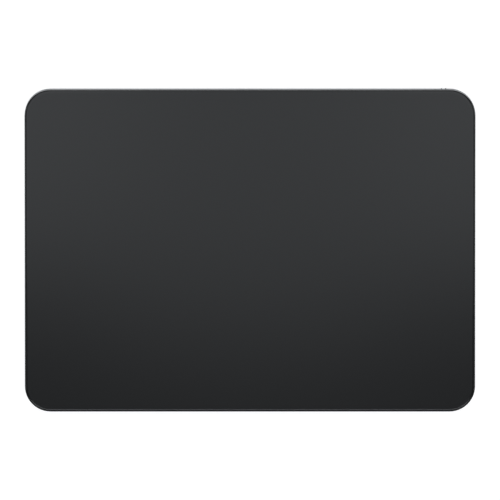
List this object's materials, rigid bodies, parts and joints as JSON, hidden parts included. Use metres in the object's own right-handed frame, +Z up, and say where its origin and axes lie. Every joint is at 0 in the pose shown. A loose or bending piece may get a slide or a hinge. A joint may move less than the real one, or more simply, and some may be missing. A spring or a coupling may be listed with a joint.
{
  "type": "trackpad",
  "caption": "Thin wedge-shaped wireless trackpad with a black matt glass touch surface, an aluminium frame, a rear charging port and a slide switch.",
  "frame": {"origin": "on the desk, under the middle of the footprint", "axes": "+X to the right as the user sees it, +Y towards the rear edge, +Z up"},
  "size_m": [0.16, 0.1152, 0.0108],
  "materials": {
    "etched_glass": "black-backed cover glass with an etched, matt touch side",
    "adhesive": "black sheet adhesive",
    "board_black": "black solder resist over glass epoxy",
    "board_green": "dark green solder resist over glass epoxy",
    "chip": "moulded black epoxy",
    "connector": "black liquid-crystal polymer",
    "nickel_steel": "nickel-plated steel",
    "spring_steel": "rolled stainless steel",
    "screw_steel": "zinc-plated steel",
    "core_steel": "stacked silicon-steel laminations",
    "tinned_steel": "tin-plated sheet steel",
    "port_steel": "deep-drawn stainless steel",
    "gel": "soft silicone gel",
    "foot_rubber": "moulded grey rubber",
    "anodised_aluminium": "bead-blasted and clear anodised",
    "machined_aluminium": "milled, not anodised",
    "knob_aluminium": "machined and anodised",
    "cover_paint": "silver-grey satin paint",
    "polyimide": "amber polyimide film over copper",
    "copper_wire": "enamelled copper wire",
    "brass_standoff": "turned brass",
    "gold_plate": "gold-plated copper alloy",
    "pouch_foil": "black film over a laminated foil pouch",
    "ferrite": "pressed ferrite",
    "capacitor_body": "fired ceramic",
    "tray_plastic": "moulded black plastic",
    "indicator_green": "printed green"
  },
  "bodies": {
    "housing": {"flexures": "spring_steel", "strain_gauges": "polyimide", "flexure_posts": "machined_aluminium", "flexure_screws": "screw_steel", "touch_flex": "polyimide", "gauge_flexes": "polyimide", "enclosure": "anodised_aluminium", "chassis_plate": "spring_steel", "chassis_screws": "screw_steel", "cover_adhesive": "adhesive", "base_cover": "cover_paint", "feet": "foot_rubber", "haptic_bracket": "machined_aluminium", "haptic_cores": "core_steel", "haptic_coils": "copper_wire", "haptic_screws": "screw_steel", "haptic_flex": "polyimide", "battery_left": "pouch_foil", "battery_right": "pouch_foil", "battery_tape": "adhesive", "battery_boards": "board_green", "battery_tabs": "nickel_steel", "battery_flexes": "polyimide", "logic_board": "board_green", "board_standoffs": "brass_standoff", "board_screws": "screw_steel", "processor": "chip", "driver_chips": "chip", "inductors": "ferrite", "capacitors": "capacitor_body", "board_connectors": "connector", "radio_chip": "chip", "radio_shield": "tinned_steel", "antenna_carrier": "connector", "antenna": "gold_plate", "port_shell": "port_steel", "port_tongue": "connector", "port_contacts": "gold_plate", "port_bracket": "tinned_steel", "port_screws": "screw_steel", "slide_switch": "tinned_steel", "switch_tray": "tray_plastic", "on_indicator": "indicator_green", "switch_board": "board_green", "switch_bracket": "machined_aluminium", "switch_screws": "screw_steel", "switch_flex": "polyimide"},
    "flexure_ends": {"flexure_seats": "nickel_steel", "gel_pads": "gel"},
    "deck": {"cover_glass": "etched_glass", "glass_adhesive": "adhesive", "sensor_board": "board_black", "touch_chips": "chip", "touch_connector": "connector", "haptic_armature": "nickel_steel"},
    "power_slider": {"switch_knob": "knob_aluminium", "switch_actuator": "connector"}
  },
  "joints": [
    {"name": "deck_press", "type": "slide", "parent": "housing", "child": "flexure_ends", "axis": [0, -0.0521, 0.9986], "range_m": [-0.00025, 0], "stiffness_N_per_m": 20000, "springref_m": 0.00005, "deforming": ["flexures", "touch_flex"]},
    {"name": "haptic_shift", "type": "slide", "parent": "flexure_ends", "child": "deck", "axis": [1, 0, 0], "range_m": [-0.00015, 0.00015], "stiffness_N_per_m": 10000, "deforming": ["gel_pads"]},
    {"name": "power_switch", "type": "slide", "parent": "housing", "child": "power_slider", "axis": [1, 0, 0], "range_m": [-0.0018, 0]}
  ]
}
